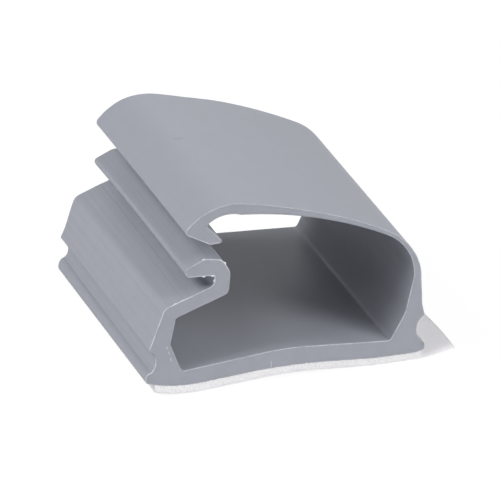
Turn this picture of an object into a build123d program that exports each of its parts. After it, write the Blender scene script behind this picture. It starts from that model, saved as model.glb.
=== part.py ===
from build123d import *
from math import radians, tan
import os

# Latching cable clip with an adhesive base. One flexible grey profile is extruded and cut to
# length: a bowed base, a stiff catch on the open side and a thin arm that bows over the cable
# and ends in a hook. A foam pad with adhesive on both faces sits under the base, and a paper
# release liner with a pull tab covers the pad.
#
# X runs across the clip from the open side to the tab, Y along the cable and Z up. The origin
# is at the middle of the whole clip, level with the underside of the liner.
# Sizes are in millimetres and angles in degrees. Profile heights start at the underside of the
# base and profile widths at the left toe, unless the comment says otherwise.

# Whole clip
clip_length = 25.4
base_width = 26.42

# Underside of the base: a flat land near each toe, a lifted tip at each end and a low arch
# between. The arch rise is the height where its two slopes would meet.
left_toe_lift = 0.72
left_toe_undercut = 0.12
left_land_start = 4.2
left_land_end = 5.2
arch_rise = 0.6
right_land_start_inset = 4.82
right_land_end_inset = 1.3
arch_foot_radius = 5.0
arch_crown_radius = 45.0
right_toe_lift = 0.2
right_toe_undercut = 0.15

# Foam pad and liner
foam_thickness = 0.68
liner_thickness = 0.12
pad_left_inset = 0.9
pad_right_inset = 0.3
tab_reach = 2.85
tab_lift = 0.6

# Floor of the cable channel: two slopes, which would meet at the crown rise over the corners
base_thickness = 1.45
floor_crown_rise = 0.84
floor_crown_radius = 25.0

# Rounded toes and the finger groove over each of them
left_toe_height = 1.1
left_groove_start_inset = 0.55
left_groove_start_height = 1.74
left_groove_depth = 0.96
left_groove_height = 2.74
left_ridge_inset = 0.36
left_ridge_height = 3.95
right_toe_height = 0.58
right_groove_start_inset = 0.37
right_groove_start_height = 1.08
right_groove_depth = 0.78
right_groove_height = 2.25
right_ridge_height = 3.51

# Catch: leaning wall, ledge, neck and lip. The insets of the lip's crest, shoulder and cheek are
# taken from the outside of the neck.
bend_inset = 1.83
bend_rise = 3.88
ledge_angle = 19.0
neck_inset = 6.5
neck_height = 0.95
neck_width = 1.35
lip_reach = 2.51
lip_droop = 0.15
lip_tip_overhang = 0.36
lip_tip_rise = 0.72
lip_crest_inset = 0.9
lip_crest_rise = 0.9
lip_shoulder_inset = 0.8
lip_shoulder_drop = 0.3
lip_cheek_inset = 1.53
lip_cheek_drop = 1.33
heel_drop = 0.98
inner_corner_inset = 2.9
inner_apex_inset = 2.36
inner_apex_height = 4.26
floor_corner_inset = 3.4
bend_radius = 1.0
neck_root_radius = 0.6
lip_root_radius = 0.1
lip_tip_radius = 0.35
lip_crest_radius = 1.5
lip_shoulder_radius = 1.3
lip_cheek_radius = 1.3
heel_radius = 0.6
inner_corner_radius = 0.3
inner_apex_radius = 0.15
left_floor_radius = 0.4

# Hook over the mouth
mouth_gap = 1.28
hook_inset = 6.15
barb_angle = 28.8
barb_length = 2.35
nose_radius = 0.44
head_radius = 5.6
head_sweep = 48.5
crown_sweep = 11.2
barb_tip_reach = 1.32
barb_tip_rise = 0.06
barb_lean = 1.75
barb_height = 1.83
pocket_run = 0.5
pocket_rise = 0.32
barb_tip_radius = 0.2
pocket_root_radius = 0.25

# Arm, thin shoulder hinge and side wall
arm_root_thickness = 1.12
arm_middle_thickness = 0.55
hinge_thickness = 0.36
shoulder_inset = 3.42
shoulder_rise = 4.3
wall_top_inset = 0.36
wall_top_height = 7.9
wall_foot_inset = 0.24
wall_foot_height = 4.6
wall_foot_radius = 1.0
inner_wall_top_drop = 0.4
wall_top_thickness = 0.7
inner_knee_inset = 1.88
inner_knee_height = 4.0
inner_foot_inset = 3.3
inner_knee_radius = 4.0
right_floor_radius = 0.4

# Place along a curve where the middle thickness of the arm holds
middle = 0.5

# Where the profile stands
left_edge = -(base_width + tab_reach) / 2
seat_height = foam_thickness + liner_thickness
profile_plane = Plane(
    origin=(left_edge, clip_length / 2, seat_height), x_dir=(1, 0, 0), z_dir=(0, -1, 0)
)

# Underside from the left toe to the end of the right land, shared by the base, pad and liner
right_land_start = base_width - right_land_start_inset
right_land_end = base_width - right_land_end_inset
with BuildLine() as shared_underside:
    TangentArc((left_land_start, 0), (left_toe_undercut, left_toe_lift), tangent=(-1, 0))
    FilletPolyline(
        (left_land_start, 0),
        (left_land_end, 0),
        ((left_land_end + right_land_start) / 2, arch_rise),
        (right_land_start, 0),
        (right_land_end, 0),
        radius=(arch_foot_radius, arch_crown_radius, arch_foot_radius),
    )

# Underside of the base, with the lifted right toe
toe_underside_end = (base_width - right_toe_undercut, right_toe_lift)
with BuildLine() as base_underside:
    add(shared_underside.line)
    TangentArc((right_land_end, 0), toe_underside_end, tangent=(1, 0))

# Profile of the clip, taken round its outline from the right toe to the left one
with BuildPart() as clip_body:
    with BuildSketch(profile_plane) as clip_profile:
        with BuildLine():
            add(base_underside.line)

            # Right toe, its groove and the ridge above
            right_ridge = (base_width, right_ridge_height)
            groove_start = (base_width - right_groove_start_inset, right_groove_start_height)
            TangentArc((base_width, right_toe_height), toe_underside_end, tangent=(0, -1))
            TangentArc((base_width, right_toe_height), groove_start, tangent=(0, 1))
            groove_bottom = (base_width - right_groove_depth, right_groove_height)
            ThreePointArc(groove_start, groove_bottom, right_ridge)

            # Catch, up to the lip and down its inside, then the floor of the channel and the
            # inside of the side wall
            left_ridge = (left_ridge_inset, left_ridge_height)
            bend_height = left_ridge_height + bend_rise
            ledge_rise = (neck_inset - bend_inset) * tan(radians(ledge_angle))
            neck_root_height = bend_height + ledge_rise
            lip_height = neck_root_height + neck_height
            lip_edge_height = lip_height + lip_droop
            lip_crest_height = lip_edge_height + lip_tip_rise + lip_crest_rise
            lip_shoulder_height = lip_crest_height - lip_shoulder_drop
            neck_inner = neck_inset + neck_width
            heel_height = neck_root_height - heel_drop
            inner_fall = (neck_inner - inner_corner_inset) * tan(radians(ledge_angle))
            inner_foot = base_width - inner_foot_inset
            crown_height = base_thickness + floor_crown_rise
            inner_wall_top_inset = wall_top_inset + wall_top_thickness
            inner_wall_top = (
                base_width - inner_wall_top_inset, wall_top_height - inner_wall_top_drop
            )
            FilletPolyline(
                left_ridge,
                (bend_inset, bend_height),
                (neck_inset, neck_root_height),
                (neck_inset, lip_height),
                (neck_inset - lip_reach, lip_edge_height),
                (neck_inset - lip_reach - lip_tip_overhang, lip_edge_height + lip_tip_rise),
                (neck_inset - lip_crest_inset, lip_crest_height),
                (neck_inset + lip_shoulder_inset, lip_shoulder_height),
                (neck_inset + lip_cheek_inset, lip_shoulder_height - lip_cheek_drop),
                (neck_inner, heel_height),
                (inner_corner_inset, heel_height - inner_fall),
                (inner_apex_inset, inner_apex_height),
                (floor_corner_inset, base_thickness),
                ((floor_corner_inset + inner_foot) / 2, crown_height),
                (inner_foot, base_thickness),
                (base_width - inner_knee_inset, inner_knee_height),
                inner_wall_top,
                radius=(
                    bend_radius,
                    neck_root_radius,
                    lip_root_radius,
                    lip_tip_radius,
                    lip_tip_radius,
                    lip_crest_radius,
                    lip_shoulder_radius,
                    lip_cheek_radius,
                    heel_radius,
                    inner_corner_radius,
                    inner_apex_radius,
                    left_floor_radius,
                    floor_crown_radius,
                    right_floor_radius,
                    inner_knee_radius,
                ),
            )

            # Left groove and left toe
            left_groove_start = (left_groove_start_inset, left_groove_start_height)
            ThreePointArc(left_ridge, (left_groove_depth, left_groove_height), left_groove_start)
            TangentArc((0, left_toe_height), left_groove_start, tangent=(0, 1))
            TangentArc(
                (0, left_toe_height), (left_toe_undercut, left_toe_lift), tangent=(0, -1)
            )

            # Outside of the hook and the arm: barb, nose, head, bowed arm, shoulder, side wall
            heel = (hook_inset, lip_crest_height + mouth_gap)
            barb = PolarLine(heel, barb_length, angle=180 - barb_angle)
            nose = JernArc(barb @ 1, barb % 1, nose_radius, barb_angle + head_sweep - 180)
            head = JernArc(nose @ 1, nose % 1, head_radius, -head_sweep - crown_sweep)
            wall_top = (base_width - wall_top_inset, wall_top_height)
            shoulder_start = (base_width - shoulder_inset, wall_top_height + shoulder_rise)
            bow = TangentArc(head @ 1, shoulder_start, tangent=head % 1)
            shoulder = TangentArc(shoulder_start, wall_top, tangent=bow % 1)
            wall_foot = (base_width - wall_foot_inset, wall_foot_height)
            wall_foot_fillet = min(wall_foot_radius, wall_foot_height - right_ridge_height)
            FilletPolyline(wall_top, wall_foot, right_ridge, radius=wall_foot_fillet)

            # Inside of the arm, set in from the outside by the thickness at each place
            arm_root = head @ 1 + (head % 1).rotate(Axis.Z, -90) * arm_root_thickness
            arm_middle = bow @ middle + (bow % middle).rotate(Axis.Z, -90) * arm_middle_thickness
            hinge = bow @ 1 + (bow % 1).rotate(Axis.Z, -90) * hinge_thickness
            arm_inside = ThreePointArc(arm_root, arm_middle, hinge)
            TangentArc(hinge, inner_wall_top, tangent=arm_inside % 1)

            # Barb tip, the root of the pocket behind it and the arched roof of the pocket
            tip = (heel[0] + barb_tip_reach, heel[1] + barb_tip_rise)
            pocket_root = (tip[0] - barb_lean, tip[1] + barb_height)
            roof_start = (pocket_root[0] + pocket_run, pocket_root[1] + pocket_rise)
            FilletPolyline(
                heel, tip, pocket_root, roof_start, radius=(barb_tip_radius, pocket_root_radius)
            )
            TangentArc(roof_start, arm_root, tangent=(pocket_run, pocket_rise))
        make_face()
    extrude(amount=clip_length)

# Underside of the pad, which stays level below the right toe
with BuildLine() as pad_underside:
    add(shared_underside.line)
    Line((right_land_end, 0), (base_width, 0))

# Foam pad: the band between the base and the underside of the pad, cut back at both sides
pad_width = base_width - pad_left_inset - pad_right_inset
band_height = clip_length
with BuildPart() as foam_tape:
    with BuildSketch(profile_plane):
        with BuildLine():
            add(base_underside.line)
            Line(toe_underside_end, (base_width, right_toe_lift))
            Line((base_width, right_toe_lift), (base_width, -foam_thickness))
            add(pad_underside.line.moved(Location((0, -foam_thickness))))
            Line(
                (left_toe_undercut, left_toe_lift - foam_thickness),
                (left_toe_undercut, left_toe_lift),
            )
        make_face()
        with Locations((pad_left_inset + pad_width / 2, 0)):
            Rectangle(pad_width, band_height, mode=Mode.INTERSECT)
    extrude(amount=clip_length)

# Release liner: the same underside again, run on past the right toe into a curled pull tab
tab_start = base_width - pad_right_inset
tab_end = base_width + tab_reach
liner_width = tab_end - pad_left_inset
with BuildLine() as liner_line:
    add(shared_underside.line)
    Line((right_land_end, 0), (tab_start, 0))
    TangentArc((tab_start, 0), (tab_end, tab_lift), tangent=(1, 0))
with BuildPart() as release_liner:
    with BuildSketch(profile_plane):
        with BuildLine():
            add(liner_line.line.moved(Location((0, -foam_thickness))))
            Line((tab_end, tab_lift - foam_thickness), (tab_end, tab_lift - seat_height))
            add(liner_line.line.moved(Location((0, -seat_height))))
            Line(
                (left_toe_undercut, left_toe_lift - seat_height),
                (left_toe_undercut, left_toe_lift - foam_thickness),
            )
        make_face()
        with Locations((pad_left_inset + liner_width / 2, 0)):
            Rectangle(liner_width, band_height, mode=Mode.INTERSECT)
    extrude(amount=clip_length)

clip_body.part.label = "clip_body"
foam_tape.part.label = "foam_tape"
release_liner.part.label = "release_liner"

os.makedirs("parts", exist_ok=True)
export_step(clip_body.part, "parts/clip_body.step")
export_step(foam_tape.part, "parts/foam_tape.step")
export_step(release_liner.part, "parts/release_liner.step")
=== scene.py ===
import bpy
import numpy as np
from mathutils import Matrix


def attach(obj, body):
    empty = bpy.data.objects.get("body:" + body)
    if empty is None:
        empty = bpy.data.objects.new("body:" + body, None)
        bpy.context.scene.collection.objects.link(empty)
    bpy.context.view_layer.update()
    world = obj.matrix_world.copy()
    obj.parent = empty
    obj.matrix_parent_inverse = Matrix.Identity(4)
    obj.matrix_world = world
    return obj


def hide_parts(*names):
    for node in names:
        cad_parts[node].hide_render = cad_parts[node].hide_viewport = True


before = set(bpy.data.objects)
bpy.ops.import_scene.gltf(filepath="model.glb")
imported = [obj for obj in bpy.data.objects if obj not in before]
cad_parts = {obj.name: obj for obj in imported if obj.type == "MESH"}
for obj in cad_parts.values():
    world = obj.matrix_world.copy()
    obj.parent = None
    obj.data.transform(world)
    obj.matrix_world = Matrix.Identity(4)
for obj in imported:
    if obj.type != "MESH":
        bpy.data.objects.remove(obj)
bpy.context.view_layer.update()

# Clip body: base, catch, thin arm and hook in one profile of flexible grey PVC. It is drawn
# through a die, which leaves faint lines along it, and sawn to length. The saw leaves two matt
# ends with a thin raised lip round the outline, paler where the plastic was stressed, and
# lighter still from a painted highlight where the lip catches the light.
mm = 0.001
clip_length = 25.4
front_y = -clip_length / 2
left_edge_x, seat_z = -14.635, 0.8
arc_points = 24


def arc(start, heading, end, count=arc_points):
    """Points on the circle arc that leaves start along the angle heading, in radians, and ends
    at end. It turns by twice h, the chord's angle less the heading. The point at fraction t lies
    at the angle heading + h t from start, as far off as the chord times sin(h t) / sin(h)."""
    start = np.array(start)
    chord = np.array(end) - start
    half_turn = (np.arctan2(chord[1], chord[0]) - heading + np.pi) % (2 * np.pi) - np.pi
    t = np.linspace(0, 1, count)[:, None]
    angle = heading + half_turn * t
    reach = np.hypot(*chord) * np.sin(half_turn * t) / np.sin(half_turn)
    return start + reach * np.hstack([np.cos(angle), np.sin(angle)])


def end_heading(start, heading, end):
    """Angle at the end of an arc: twice the angle of its chord, less the angle at its start."""
    return 2 * np.arctan2(end[1] - start[1], end[0] - start[0]) - heading


def turned(start, heading, radius, turn):
    """Points on a circle arc of a given radius that turns by an angle. Its chord is 2 r sin(turn
    / 2) long and points along heading + turn / 2."""
    chord = 2 * radius * np.sin(abs(turn) / 2)
    middle = heading + turn / 2
    return arc(start, heading, start + chord * np.array([np.cos(middle), np.sin(middle)]))


def through_heading(start, middle, end):
    """Start angle of the circle arc through three points. The chord is seen from the middle
    point under half a turn less h, and the arc leaves at the chord's angle less h."""
    a, b = np.array(start) - middle, np.array(end) - middle
    seen = np.arctan2(a[0] * b[1] - a[1] * b[0], a @ b)
    chord = np.array(end) - start
    return np.arctan2(chord[1], chord[0]) + np.sign(seen) * (np.pi - abs(seen))


def to_the_right(point, heading, distance):
    """Point at a distance to the right of a heading."""
    return point + distance * np.array([np.sin(heading), -np.cos(heading)])


def rounded(corners, radii):
    """Straight runs with round corners. A corner that turns by a takes an arc of radius r from
    r tan(a / 2) before it to as far after it."""
    corners = np.array(corners)
    along = np.diff(corners, axis=0)
    along /= np.hypot(*along.T)[:, None]
    into, out_of = along[:-1], along[1:]
    turn = np.arctan2(np.cross(into, out_of), (into * out_of).sum(1))[:, None]
    reach = np.array(radii)[:, None] * np.tan(abs(turn) / 2)
    first = corners[1:-1] - into * reach
    chord = np.hypot(*((into + out_of) * reach).T)[:, None]
    heading = np.arctan2(into[:, 1], into[:, 0])[:, None]
    t = np.linspace(0, 1, arc_points)
    angle = heading + turn / 2 * t
    length = chord * np.sin(turn / 2 * t) / np.sin(turn / 2)
    arcs = first[:, None] + length[..., None] * np.stack([np.cos(angle), np.sin(angle)], -1)
    return np.concatenate([corners[:1], arcs.reshape(-1, 2), corners[-1:]])


# Sizes in mm, from the left toe and the underside of the base
left_toe_tip, left_land, left_foot, arch_peak = (0.12, 0.72), (4.2, 0), (5.2, 0), (13.4, 0.6)
right_foot, right_land, right_toe_tip = (21.6, 0), (25.12, 0), (26.27, 0.2)
left_toe, left_groove_end = (0, 1.1), (0.55, 1.74)
left_groove, left_ridge = (0.96, 2.74), (0.36, 3.95)
right_toe, right_groove_end = (26.42, 0.58), (26.05, 1.08)
right_groove, right_ridge = (25.64, 2.25), (26.42, 3.51)
wall_foot, wall_top, shoulder = (26.18, 4.6), (26.06, 7.9), (23.0, 12.2)
inner_wall_top, inner_knee, inner_foot = (25.36, 7.5), (24.54, 4.0), (23.12, 1.45)
floor_crown, floor_corner = (13.26, 2.29), (3.4, 1.45)
wall_bend, neck_root, lip_root = (1.83, 7.83), (6.5, 9.438), (6.5, 10.388)
lip_under, lip_tip, lip_crest = (3.99, 10.538), (3.63, 11.258), (5.6, 12.158)
lip_shoulder, lip_cheek, lip_heel = (7.3, 11.858), (8.03, 10.528), (7.85, 8.458)
inner_corner, inner_apex = (2.9, 6.754), (2.36, 4.26)
heel, barb_tip = np.array([6.15, 13.438]), (7.47, 13.498)
pocket_root, roof_start = (5.72, 15.328), (6.22, 15.648)
barb_length, nose_radius, head_radius = 2.35, 0.44, 5.6
arm_root_thickness, arm_thickness, hinge_thickness = 1.12, 0.55, 0.36

# Angles in radians
east, north, west, south = 0, np.pi / 2, np.pi, -np.pi / 2
barb_heading, nose_turn, head_turn = np.radians([151.2, -102.7, -59.7])
roof_heading = np.arctan2(roof_start[1] - pocket_root[1], roof_start[0] - pocket_root[0])

# Hook and arm, worked out from the heel of the hook towards the side wall
nose_start = heel + barb_length * np.array([np.cos(barb_heading), np.sin(barb_heading)])
nose = turned(nose_start, barb_heading, nose_radius, nose_turn)
head_heading = barb_heading + nose_turn
head = turned(nose[-1], head_heading, head_radius, head_turn)
bow_heading = head_heading + head_turn
bow = arc(head[-1], bow_heading, shoulder, 2 * arc_points + 1)
bow_end_heading = end_heading(head[-1], bow_heading, shoulder)
bow_middle_heading = (bow_heading + bow_end_heading) / 2
arm_root = to_the_right(head[-1], bow_heading, arm_root_thickness)
arm_middle = to_the_right(bow[arc_points], bow_middle_heading, arm_thickness)
hinge = to_the_right(bow[-1], bow_end_heading, hinge_thickness)
arm_in_heading = through_heading(arm_root, arm_middle, hinge)
arm_out_heading = end_heading(arm_root, arm_in_heading, hinge)

# The underside from toe to toe, then the whole outline. The plastic lies on the left of the way.
underside = np.concatenate([
    arc(left_land, west, left_toe_tip)[::-1],
    rounded([left_land, left_foot, arch_peak, right_foot, right_land], [5, 45, 5]),
    arc(right_land, east, right_toe_tip),
])
groove_heading = through_heading(right_groove_end, right_groove, right_ridge)
outline = np.concatenate([
    underside,
    arc(right_toe, south, right_toe_tip)[::-1],
    arc(right_toe, north, right_groove_end),
    arc(right_groove_end, groove_heading, right_ridge),
    rounded([right_ridge, wall_foot, wall_top], [1.0]),
    arc(shoulder, bow_end_heading, wall_top)[::-1],
    bow[::-1],
    head[::-1],
    nose[::-1],
    rounded([heel, barb_tip, pocket_root, roof_start], [0.2, 0.25]),
    arc(roof_start, roof_heading, arm_root),
    arc(arm_root, arm_in_heading, hinge),
    arc(hinge, arm_out_heading, inner_wall_top),
    rounded(
        [
            inner_wall_top, inner_knee, inner_foot, floor_crown, floor_corner, inner_apex,
            inner_corner, lip_heel, lip_cheek, lip_shoulder, lip_crest, lip_tip, lip_under,
            lip_root, neck_root, wall_bend, left_ridge,
        ],
        [4, 0.4, 25, 0.4, 0.15, 0.3, 0.6, 1.3, 1.3, 1.5, 0.35, 0.35, 0.1, 0.6, 1],
    ),
    arc(left_ridge, through_heading(left_ridge, left_groove, left_groove_end), left_groove_end),
    arc(left_toe, north, left_groove_end)[::-1],
    arc(left_toe, south, left_toe_tip),
])


def worn_outline(points, softness, straight_step, bend_step, samples=8192):
    """Closed outline averaged along itself by a bell curve, then divided more finely where it
    bends. The points, as complex numbers at even steps, lose the share 1 - exp(-2 (pi w f)^2) of
    each frequency f. A division is as long as keeps length / straight_step + turn / bend_step
    even. Returns the points, the inward unit normals, the length so far and the bend per mm,
    which is positive where the plastic is convex."""
    ring = np.concatenate([points, points[:1]])
    way = np.concatenate([[0], np.cumsum(np.hypot(*np.diff(ring, axis=0).T))])
    even = np.linspace(0, way[-1], samples + 1)
    line = np.interp(even[:-1], way, ring[:, 0]) + 1j * np.interp(even[:-1], way, ring[:, 1])
    frequency = np.fft.fftfreq(samples, even[1])
    series = np.fft.fft(line) * np.exp(-2 * (np.pi * softness * frequency) ** 2)
    line = np.fft.ifft(series)
    tangent = np.fft.ifft(series * 2j * np.pi * frequency)
    bend = np.angle(np.roll(tangent, -1) / tangent)
    effort = np.concatenate([[0], np.cumsum(even[1] / straight_step + abs(bend) / bend_step)])
    count = int(effort[-1])
    at = np.interp(np.arange(count) * effort[-1] / count, effort, even)
    line, inward = np.append(line, line[0]), 1j * np.append(tangent, tangent[0])
    line = np.interp(at, even, line.real) + 1j * np.interp(at, even, line.imag)
    inward = np.interp(at, even, inward.real) + 1j * np.interp(at, even, inward.imag)
    inward /= abs(inward)
    bend = np.interp(at, even[:-1], bend / even[1])
    return np.stack([line.real, line.imag], 1), np.stack([inward.real, inward.imag], 1), at, bend


def waves(at, lengths, seed):
    """Uneven waves along a line: the mean of one sine for each wavelength, at a seeded phase."""
    phases = np.random.default_rng(seed).uniform(0, 2 * np.pi, len(lengths))
    return np.sin(2 * np.pi * at[..., None] / np.array(lengths) + phases).mean(-1)


def near(points, place, size):
    """Bell curve round a place on the profile, 1 at its middle and exp(-1) at a distance size."""
    return np.exp(-((points - place) ** 2).sum(-1) / size**2)


profile, inward, way, bend = worn_outline(
    outline, softness=0.04, straight_step=0.08, bend_step=0.12
)

# Rings from one sawn end to the other: how far each lies inside the outline, and its depth behind
# the crest of the lip. The lip is higher in some places than in others, and low under the base.
lip_rise, lip_width = 0.04, 0.08
lip_height = np.clip(0.75 + 0.5 * waves(way, [0.9, 1.7, 3.1, 7.3], seed=3), 0.3, 1)
lip_height *= np.interp(way, [24, 26.5], [0.1, 1])
ring_inset = np.array([1.5, 1.25, 0.95, 0.25, 0.0, 0.0]) * lip_width
ring_depth = np.array([1.0, 0.85, 0.0, 0.1, 1.0, 2.4]) * lip_rise
ring_is_lip = np.array([0, 0.7, 1.0, 1.0, 0.2, 0])
inner_rows = 12
front_depth = ring_depth[:, None] + (1 - lip_height) * lip_rise * (ring_is_lip > 0)[:, None]
front_rows_y = front_y + front_depth
middle_y = np.linspace(front_rows_y[-1, 0], -front_rows_y[-1, 0], inner_rows)[1:-1]
rows_y = np.concatenate(
    [front_rows_y, np.repeat(middle_y[:, None], len(way), 1), -front_rows_y[::-1]]
)
rows_inset = np.concatenate([ring_inset, np.zeros(inner_rows - 2), ring_inset[::-1]])[:, None]
rows_pale = np.concatenate([ring_is_lip, np.zeros(inner_rows - 2), ring_is_lip[::-1]])[:, None]

# The rings draw closer on tight convex bends, where they would cross one another
ring_closeness = 1.6
rows_inset = rows_inset / (1 + ring_closeness * rows_inset * np.clip(bend, 0, None))

# Crumbs that the saw left on the lip at the front, round the catch: place and reach of each
crumbs = np.array([
    [5.49, 12.12, 0.20], [7.12, 11.9, 0.15], [7.5, 11.5, 0.15], [5.5, 10.5, 0.17],
    [6.35, 10.4, 0.17], [6.4, 9.9, 0.28], [3.5, 8.45, 0.08], [2.8, 8.2, 0.10],
])
crumb_size = 0.13
crumb = near(profile[:, None], crumbs[:, :2], crumb_size)
rows_inset[1:4] -= np.array([0.3, 0.8, 1.0])[:, None] * (crumb @ crumbs[:, 2])

# A thin burr stands up along the arm's upper edge, over its thin end
burr_height, burr_way, burr_reach = 0.12, 43.5, 4
rows_inset[:4] -= burr_height * np.exp(-(((way - burr_way) / burr_reach) ** 2))
flat = profile + inward * rows_inset[..., None]

# Right of its arch the base sinks a little into the foam, fading out above its underside
sink_x, sink_depth = [9, 14, 20, 24], [0, 0.07, 0.08, 0.14]
sunk_share = np.interp(profile[:, 1], [0.6, 1.3], [1, 0])
flat[..., 1] -= np.interp(profile[:, 0], sink_x, sink_depth) * sunk_share

# The profile changes a little towards the rear, by moves across and up that grow with a power of
# the way to the rear: place, reach of the bell curve, power, and the move at the rear end
to_rear = np.clip(rows_y / clip_length + 0.5, 0, 1)[..., None]
rear_moves = [
    ((0.4, 1.75), 0.5, 2, (0, 0.18)),  # left toe
    ((0.36, 3.95), 0.7, 2, (-0.10, 0)),  # left ridge
    ((1.7, 7.0), 2.2, 2, (-0.14, 0)),  # bend of the left wall
    ((4.2, 8.8), 2.0, 2, (0, 0.08)),  # ledge
    ((5.6, 10.4), 3.6, 4, (-0.25, 0)),  # catch
    ((4.1, 14.6), 1.5, 2, (-0.05, 0)),  # nose of the hook
    ((6.0, 16.3), 1.8, 2, (0, 0.10)),  # head of the hook
    ((12.5, 16.9), 2.2, 2, (0, -0.09)),  # arm behind the head
]
for place, reach, power, move in rear_moves:
    flat += to_rear**power * near(profile, place, reach)[:, None] * np.array(move)

# There the inner side of the right wall also leans in, and the floor beside it lies higher
wall_lean = 0.3 * np.interp(way, [88, 94.5, 97, 100], [0, 1, 0.3, 0])
floor_rise = 0.2 * np.interp(way, [93, 97, 106], [0, 1, 0])
flat += to_rear**2 * np.stack([-wall_lean, floor_rise], -1)
body_points = np.stack([flat[..., 0] + left_edge_x, rows_y, flat[..., 1] + seat_z], -1)


def grid_faces(rows, columns):
    """Quads of a grid whose columns join round: corners (r, c), (r + 1, c), (r + 1, c + 1) and
    (r, c + 1), with the column after the last one being the first."""
    r, c = np.meshgrid(np.arange(rows - 1), np.arange(columns), indexing="ij")
    here, below, after = r * columns, (r + 1) * columns, (c + 1) % columns
    return np.stack([here + c, below + c, below + after, here + after], -1).reshape(-1, 4)


def tube_piece(name, points, lengths, layers=None):
    """Closed piece from rings of points, in mm: quads between the rings and one face over each
    end. Its map, called along, holds the length round a ring and the place along the piece.
    Layers are values at the points, by name."""
    rows, columns = points.shape[:2]
    sides = grid_faces(rows, columns)
    ends = [np.arange(columns)[::-1], (rows - 1) * columns + np.arange(columns)]
    mesh = bpy.data.meshes.new(name)
    mesh.from_pydata(
        points.reshape(-1, 3) * mm, [], sides.tolist() + [end.tolist() for end in ends]
    )
    mesh.polygons.foreach_set("use_smooth", [True] * len(sides) + [False] * len(ends))
    round_way = np.append(lengths, 2 * lengths[-1] - lengths[-2])
    u = round_way[sides % columns]
    u[:, 2:] = np.where(u[:, 2:] == round_way[0], round_way[-1], u[:, 2:])
    v = points[..., 1].reshape(-1)[sides]
    side_uv = np.stack([u, v], -1).reshape(-1, 2)
    end_uv = points[[0, -1]][..., [0, 2]].reshape(-1, 2)
    uv = np.concatenate([side_uv, end_uv[:columns][::-1], end_uv[columns:]])
    mesh.uv_layers.new(name="along").data.foreach_set("uv", uv.astype(np.float32).ravel())
    for layer_name, values in (layers or {}).items():
        layer = mesh.attributes.new(layer_name, "FLOAT", "POINT")
        layer.data.foreach_set("value", values.astype(np.float32).ravel())
    piece = bpy.data.objects.new(name, mesh)
    bpy.context.scene.collection.objects.link(piece)
    return piece


# Stress whitening and painted highlight on the lip: how pale it is, as pairs of the way along the
# outline and a share: palest where it catches the light, on the leaning wall, the top of the catch
# and the tip of the hook, and plain under the arm, in its shade, and in the left groove
lip_whitening_and_highlight = np.clip(0.85 + 0.5 * waves(way, [0.6, 1.3, 2.9, 5.7], seed=5), 0.2, 1)
lip_whitening_and_highlight *= np.interp(way, *np.transpose([
    (27, 0.3), (30, 0.4), (36, 0.6), (41, 0.6), (57, 0.4), (60, 0.8), (62, 0.5), (64, 0.8),
    (67, 0.3), (74, 0), (84, 0), (88, 0.5), (96, 0.7), (116, 0.6), (118, 0.3), (128, 0.3),
    (131, 1), (133, 0.6), (137, 0.5), (141, 0.8), (147, 1),
]))
lip_whitening_and_highlight *= 1 - near(profile, (0.55, 3.4), 0.7)

# How strong the die lines are: faint all over, and stronger round each place by an amount
lined = 0.15 + sum(amount * near(profile, place, size) for amount, place, size in [
    (1.0, (1.6, 6.8), 3.2),  # leaning wall
    (0.8, (5.0, 9.4), 2.0),  # ledge
    (0.5, (4.6, 11.4), 1.5),  # lip of the catch
    (0.5, (0.4, 2.0), 1.2),  # left toe
    (0.6, (26.2, 6.0), 3.5),  # right wall
])
# The pale layer holds the lip's stress whitening with its painted highlight, and the saw's whitish
# crumbs
body = tube_piece("clip_body_skin", body_points, way, {
    "pale": np.clip(rows_pale * lip_whitening_and_highlight + (rows_pale > 0) * crumb.sum(1), 0, 1),
    "lined": np.broadcast_to(lined, rows_y.shape),
    "polished": np.broadcast_to(near(profile, inner_foot, 0.4), rows_y.shape),
})


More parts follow.
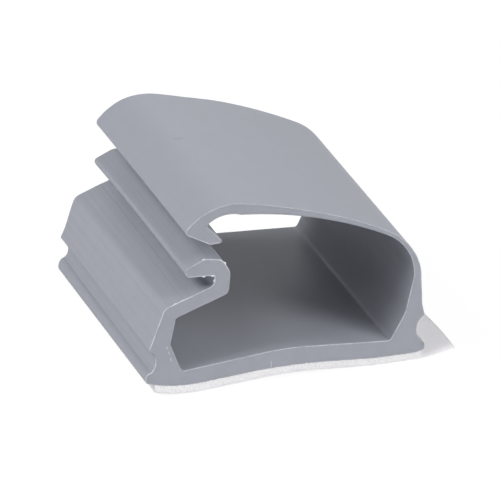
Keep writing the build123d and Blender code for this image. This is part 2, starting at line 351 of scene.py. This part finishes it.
class Tone:
    """One output of a material's nodes. An operator on tones adds the Math node that does it."""

    def __init__(self, tree, socket=None):
        self.tree, self.socket = tree, socket

    def node(self, kind, settings, sockets, output=0):
        """Adds a node of a kind. Its settings are set first, then its sockets take a value or the
        link to a tone. Returns the tone of one of its outputs."""
        made = self.tree.nodes.new("ShaderNode" + kind)
        for name, value in settings.items():
            setattr(made, name, value)
        for name, value in sockets.items():
            if isinstance(value, Tone):
                self.tree.links.new(value.socket, made.inputs[name])
            else:
                made.inputs[name].default_value = value
        return Tone(self.tree, made.outputs[output] if made.outputs else None)

    def maths(self, operation, *values):
        return self.node("Math", {"operation": operation}, dict(enumerate(values)))

    def __add__(self, other):
        return self.maths("ADD", self, other)

    def __radd__(self, other):
        return self.maths("ADD", other, self)

    def __sub__(self, other):
        return self.maths("SUBTRACT", self, other)

    def __rsub__(self, other):
        return self.maths("SUBTRACT", other, self)

    def __mul__(self, other):
        return self.maths("MULTIPLY", self, other)

    def __rmul__(self, other):
        return self.maths("MULTIPLY", other, self)

    def ramp(self, low, high):
        """0 up to low, 1 from high on, and a smooth step between."""
        span = {"From Min": low, "From Max": high, "Value": self}
        return self.node("MapRange", {"interpolation_type": "SMOOTHSTEP"}, span)

    def noise(self, vector, scale, detail):
        return self.node("TexNoise", {}, {"Vector": vector, "Scale": scale, "Detail": detail})

    def mix(self, factor, first, second):
        """Colour between two colours."""
        sockets = {"Factor": factor, 6: first, 7: second}
        return self.node("Mix", {"data_type": "RGBA"}, sockets, output=2)

    def attribute(self, name):
        """Value that the mesh holds at its points under a name."""
        return self.node("Attribute", {"attribute_name": name}, {}, output=2)

    def object_place(self):
        """Place on the object, in metres."""
        return self.node("TexCoord", {}, {}, output=3)

    def bump(self, height, strength, distance):
        sockets = {"Height": height, "Strength": strength, "Distance": distance}
        return self.node("Bump", {}, sockets)

    def surface(self, colour, roughness, normal, **others):
        """Principled surface on the material's output. Other sockets go by their names, with
        underscores for spaces."""
        sockets = {"Base Color": colour, "Roughness": roughness, "Normal": normal, "IOR": 1.45}
        sockets.update({name.replace("_", " "): value for name, value in others.items()})
        shader = self.node("BsdfPrincipled", {}, sockets)
        self.node("OutputMaterial", {}, {"Surface": shader})


def streak(place, start, end, half_width):
    """1 on the line between two places, in mm, and 0 beyond its half width. The nearest place on
    the line is start + t (end - start). Its t is the share of the way, held between 0 and 1."""
    start, run = np.array(start) * mm, np.subtract(end, start) * mm
    off = place.node("VectorMath", {"operation": "SUBTRACT"}, {0: place, 1: tuple(start)})
    unit = {0: off, 1: tuple(run / (run @ run))}
    share = place.node("VectorMath", {"operation": "DOT_PRODUCT"}, unit, output=1)
    share = share.maths("MINIMUM", share.maths("MAXIMUM", share, 0.0), 1.0)
    nearest = place.node("VectorMath", {"operation": "SCALE"}, {0: tuple(run), "Scale": share})
    away = place.node("VectorMath", {"operation": "DISTANCE"}, {0: off, 1: nearest}, output=1)
    return 1 - away.ramp(0.4 * half_width * mm, half_width * mm)


def new_material(name):
    """An empty material and the start of its nodes."""
    made = bpy.data.materials.new(name)
    made.use_nodes = True
    made.node_tree.nodes.clear()
    return made, Tone(made.node_tree)


# Drawn skin with faint lines along the clip, and the pale lip of the saw cut, partly a painted
# highlight
skin_dark, skin_light = (0.325, 0.340, 0.383, 1), (0.375, 0.391, 0.436, 1)
smudge_colour, lip_crumb_and_highlight_colour = (0.20, 0.20, 0.22, 1), (0.80, 0.82, 0.88, 1)
skin, nodes = new_material("drawn_grey_pvc")
along = nodes.node("UVMap", {"uv_map": "along"}, {})
stretched = nodes.node("Mapping", {}, {"Vector": along, "Scale": (1.9, 0.01, 1.0)})
broad_lines = nodes.noise(stretched, 1.0, 2.0).ramp(0.35, 0.65)
fine_lines = nodes.noise(stretched, 3.2, 3.0).ramp(0.35, 0.65)
lines = (broad_lines * 0.45 + fine_lines * 0.75 - 0.6) * nodes.attribute("lined")
place = nodes.object_place()
mottle = nodes.noise(place, 700.0, 3.0).ramp(0.3, 0.7)
grain = nodes.noise(place, 9000.0, 2.0)
tint = nodes.mix(lines * 0.7 + mottle * 0.15 + 0.42, skin_dark, skin_light)

# A small smudge on the arm's top
smudge = streak(place, (-6.7, 2.2, 17.92), (-6.2, 2.2, 17.92), 0.28)
tint = nodes.mix(smudge * 0.22, tint, smudge_colour)
# Lip colour: stressed plastic and whitish saw crumbs, made paler still by a painted highlight
colour = nodes.mix(nodes.attribute("pale"), tint, lip_crumb_and_highlight_colour)
roughness = lines * 0.12 + 0.55 - nodes.attribute("polished") * 0.16
bump = nodes.bump(lines * 0.8 + grain * 0.25 + mottle * 0.15, 0.3, 0.03 * mm)
nodes.surface(colour, roughness, bump, Specular_IOR_Level=0.25)
body.data.materials.append(skin)

# Sawn ends: matt, with fine saw marks that run nearly level
sawn_dark, sawn_light = (0.355, 0.371, 0.419, 1), (0.387, 0.403, 0.451, 1)
mark_colour = (0.72, 0.74, 0.79, 1)
sawn, nodes = new_material("sawn_grey_pvc")
place = nodes.object_place()
tilted = nodes.node("Mapping", {}, {
    "Vector": place, "Rotation": (0, np.radians(8), 0), "Scale": (160.0, 160.0, 7000.0),
})
saw_marks = nodes.noise(tilted, 1.0, 3.0)
grain = nodes.noise(place, 7000.0, 3.0)
mottle = nodes.noise(place, 700.0, 3.0)
tint = nodes.mix(grain.ramp(0.3, 0.7) * 0.4 + mottle.ramp(0.3, 0.7) * 0.6, sawn_dark, sawn_light)

# Pale marks of the saw on the front face: beside the left corner of the floor, and under its
# middle. Start, end and half width of each.
for start, end, half_width in [
    ((-12.60, -12.66, 4.85), (-12.54, -12.66, 4.65), 0.07),
    ((-12.45, -12.66, 4.35), (-12.38, -12.66, 4.10), 0.06),
    ((-12.26, -12.66, 3.70), (-12.18, -12.66, 3.40), 0.07),
    ((-2.77, -12.66, 1.90), (-2.80, -12.66, 1.28), 0.06),
]:
    tint = nodes.mix(streak(place, start, end, half_width) * 0.6, tint, mark_colour)
bump = nodes.bump(saw_marks * 0.5 + grain * 0.5, 0.35, 0.03 * mm)
nodes.surface(tint, 0.62 + grain * 0.1, bump)
body.data.materials.append(sawn)
skin_faces = len(body.data.polygons) - 2
body.data.polygons.foreach_set("material_index", [0] * skin_faces + [1, 1])
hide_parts("clip_body")
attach(body, "root")

# Foam pad: white closed-cell foam with adhesive on both faces, die-cut a little short of the
# base at both sides. The cut cells show along its edges as fine pores, with painted shade in them.
foam_thickness = 0.68
foam_left, foam_right = 0.9, 26.12
foam_loops = 330

# Its top follows the sunk base. Its bottom follows the arch, and past the right foot it is flat.
right_foot_end = 21.78
foam_x = np.linspace(foam_left, foam_right, foam_loops)
arch_z = np.interp(foam_x, underside[:, 0], underside[:, 1])
pad_z = np.where(foam_x > right_foot_end, 0, arch_z) - foam_thickness
base_z = arch_z - np.interp(foam_x, sink_x, sink_depth)

# A loop round the pad's section: up the front edge, over the top, down the rear edge and back
steps_up, steps_across = 10, 6
up, across = np.linspace(0, 1, steps_up), np.linspace(-1, 1, steps_across + 2)[1:-1]
loop_y = np.concatenate([np.full(steps_up, -1), across, np.full(steps_up, 1), -across])
loop_z = np.concatenate([up, np.ones(steps_across), up[::-1], np.zeros(steps_across)])
uneven = np.random.default_rng(11).normal(0, 1, (foam_loops, len(loop_y)))
cut_depth = 0.02
cut_back = cut_depth + (abs(loop_y) == 1) * cut_depth * abs(uneven)
foam_y = loop_y * (clip_length / 2 - cut_back)
foam_z = pad_z[:, None] + (base_z - pad_z)[:, None] * loop_z

# The upper edge at the front is ragged: torn cells stand up over the edge of the base
front_top = steps_up - 1
torn_height, torn_from, torn_most, torn_back = 0.07, 0.6, 1.2, 0.01
foam_z[:, front_top] += torn_height * np.clip(uneven[:, front_top] - torn_from, 0, torn_most)
foam_y[:, front_top] = front_y + torn_back


def loop_piece(name, x, y, z):
    """Closed piece from loops of points that follow one another along x, in mm from the left toe
    and the underside of the base. The lengths on its map are those round one loop."""
    points = np.stack([x + left_edge_x, y, z + seat_z], -1)
    measured_loop = points[9, :, 1:]
    steps = np.hypot(*np.diff(measured_loop, axis=0).T)
    return tube_piece(name, points[::-1], np.concatenate([[0], np.cumsum(steps)]))


foam = loop_piece("foam_pad", np.broadcast_to(foam_x[:, None], foam_z.shape), foam_y, foam_z)
foam_pit_shade, foam_white = (0.84, 0.83, 0.86, 1), (0.99, 0.98, 0.995, 1)
cut_foam, nodes = new_material("white_cell_foam")
cells = nodes.node("TexVoronoi", {}, {"Vector": nodes.object_place(), "Scale": 6500.0})
cell_wall = cells.ramp(0.1, 0.5)
# The pits of the cut cells are painted darker, as shade in the pores.
colour = nodes.mix(cell_wall, foam_pit_shade, foam_white)
nodes.surface(colour, 0.85, nodes.bump(cell_wall, 0.4, 0.06 * mm))
foam.data.materials.append(cut_foam)
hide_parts("foam_tape")
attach(foam, "root")

# Release liner: thin coated paper over the adhesive under the pad. It runs on past the right toe
# as a pull tab that has started to curl up.
liner_end, liner_thickness = 29.27, 0.12
tab_slope, tab_bend = 0.209, 0.3
base_loops, tab_loops = 119, 50
liner_x = np.concatenate([
    np.linspace(foam_left, foam_right, base_loops + 1)[:-1],
    np.linspace(foam_right, liner_end, tab_loops),
])
past = np.clip(liner_x - foam_right, 0, None)
liner_top = np.interp(liner_x, foam_x, pad_z) + tab_slope * (np.hypot(past, tab_bend) - tab_bend)

# A loop round the paper's section, with its long sides divided
side_steps = 20
inner_side = np.linspace(-1, 1, side_steps + 1)[1:-1]
loop_y = np.concatenate([[-1, -1], inner_side, [1, 1], -inner_side])
loop_z = np.concatenate([[0.25, 0.75], np.ones(side_steps - 1)])
loop_z = np.concatenate([loop_z, [0.75, 0.25], np.zeros(side_steps - 1)])

# The tab's end is square at the front and falls short from there to the rear
tab_skew, skew_start = 1.2, -0.68
tab_share = np.interp(liner_x, [foam_right, liner_end], [0, 1])[:, None]
liner_wide = liner_x[:, None] - np.interp(loop_y, [skew_start, 1], [0, tab_skew]) * tab_share
liner_y = np.broadcast_to(loop_y * clip_length / 2, liner_wide.shape)
liner_z = liner_top[:, None] + (loop_z - 1) * liner_thickness
liner = loop_piece("liner_sheet", liner_wide, liner_y, liner_z)

paper_shade, paper_white = (0.95, 0.93, 0.955, 1), (0.985, 0.965, 0.985, 1)
coated, nodes = new_material("coated_liner_paper")
fibre = nodes.noise(nodes.object_place(), 2500.0, 4.0)
colour = nodes.mix(fibre.ramp(0.3, 0.7), paper_shade, paper_white)
nodes.surface(colour, 0.4, nodes.bump(fibre, 0.2, 0.03 * mm))
liner.data.materials.append(coated)
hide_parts("release_liner")
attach(liner, "root")


# Studio floor: plain white card just under the clip. The camera and reflections see it as white,
# with what is left of the shadow, and all other light meets it as plain card.
floor_half, floor_drop = 1.5, 0.00001
card_colour, shadow_colour = (0.8, 0.8, 0.8, 1), (0.12, 0.12, 0.12, 1)
white, glow_strength = (1, 1, 1, 1), 0.92


def backdrop_rays(nodes):
    """1 for the rays that see the white backdrop: the sum of camera, glossy and transmission
    rays, held at 1."""
    rays = nodes.node("LightPath", {}, {}).socket.node.outputs
    kinds = ["Is Camera Ray", "Is Glossy Ray", "Is Transmission Ray"]
    camera, glossy, through = [Tone(nodes.tree, rays[kind]) for kind in kinds]
    return nodes.maths("MINIMUM", camera + glossy + through, 1.0)


mesh = bpy.data.meshes.new("studio_floor")
corners = np.array([[-1, -1], [1, -1], [1, 1], [-1, 1]]) * floor_half
mesh.from_pydata(np.column_stack([corners, np.full(4, -floor_drop)]), [], [(0, 1, 2, 3)])
floor = bpy.data.objects.new("studio_floor", mesh)
bpy.context.scene.collection.objects.link(floor)
card, nodes = new_material("white_card")
lit = nodes.node("BsdfDiffuse", {}, {"Color": card_colour})
faint = nodes.node("BsdfDiffuse", {}, {"Color": shadow_colour})
glow = nodes.node("Emission", {}, {"Color": white, "Strength": glow_strength})
shown = nodes.node("AddShader", {}, {0: glow, 1: faint})
both = nodes.node("MixShader", {}, {0: backdrop_rays(nodes), 1: lit, 2: shown})
nodes.node("OutputMaterial", {}, {"Surface": both})
floor.data.materials.append(card)

# Light: a weak white tent all round, which the camera and reflections see as plain white, and
# round soft boxes that face the clip from both sides, the rear and the top
tent_strength, backdrop_strength = 0.05, 1.0
tent = bpy.data.worlds.new("white_tent")
tent.use_nodes = True
tent.node_tree.nodes.clear()
nodes = Tone(tent.node_tree)
soft = nodes.node("Background", {}, {"Color": white, "Strength": tent_strength})
seen = nodes.node("Background", {}, {"Color": white, "Strength": backdrop_strength})
both = nodes.node("MixShader", {}, {0: backdrop_rays(nodes), 1: soft, 2: seen})
nodes.node("OutputWorld", {}, {"Surface": both})
bpy.context.scene.world = tent

# Turn of each box from the front, to the right, its height above the floor, and its watts
box_distance, box_size = 0.7, 0.35
for name, turn, height, watts in [
    ("left_low_box", -90, 15, 0.46),
    ("left_box", -90, 44, 2.43),
    ("left_front_box", -55, 50, 0.55),
    ("right_front_low_box", 45, 15, 1.91),
    ("right_front_high_box", 45, 45, 1.33),
    ("rear_box", 161, 24, 0.48),
    ("top_box", 0, 88, 0.62),
]:
    turn, height = np.radians([turn, height])
    box = bpy.data.objects.new(name, bpy.data.lights.new(name, "AREA"))
    bpy.context.scene.collection.objects.link(box)
    box.data.shape, box.data.size, box.data.energy = "DISK", box_size, watts
    out = (np.sin(turn) * np.cos(height), -np.cos(turn) * np.cos(height), np.sin(height))
    box.location = [box_distance * part for part in out]
    box.rotation_euler = box.location.to_track_quat("Z", "Y").to_euler()

# Camera: a long lens from the left of the open side, looking down on the clip. Its directions and
# its place, in metres, were worked out from pairs of points on the front and the rear profile.
camera = bpy.data.objects.new("camera", bpy.data.cameras.new("camera"))
bpy.context.scene.collection.objects.link(camera)
right, up = (0.94604347, -0.32403973, 0), (0.13661626, 0.39885516, 0.90678033)
back = (-0.29383285, -0.85785361, 0.42160342)
stand = (-0.23945299576, -0.69777294457, 0.34989450288)
rows = [[right[i], up[i], back[i], stand[i]] for i in range(3)]
camera.matrix_world = Matrix(rows + [[0, 0, 0, 1]])
camera.data.lens, camera.data.sensor_width = 648, 36
camera.data.clip_start, camera.data.clip_end = 0.05, 10
bpy.context.scene.camera = camera
bpy.context.scene.view_settings.view_transform = "Standard"
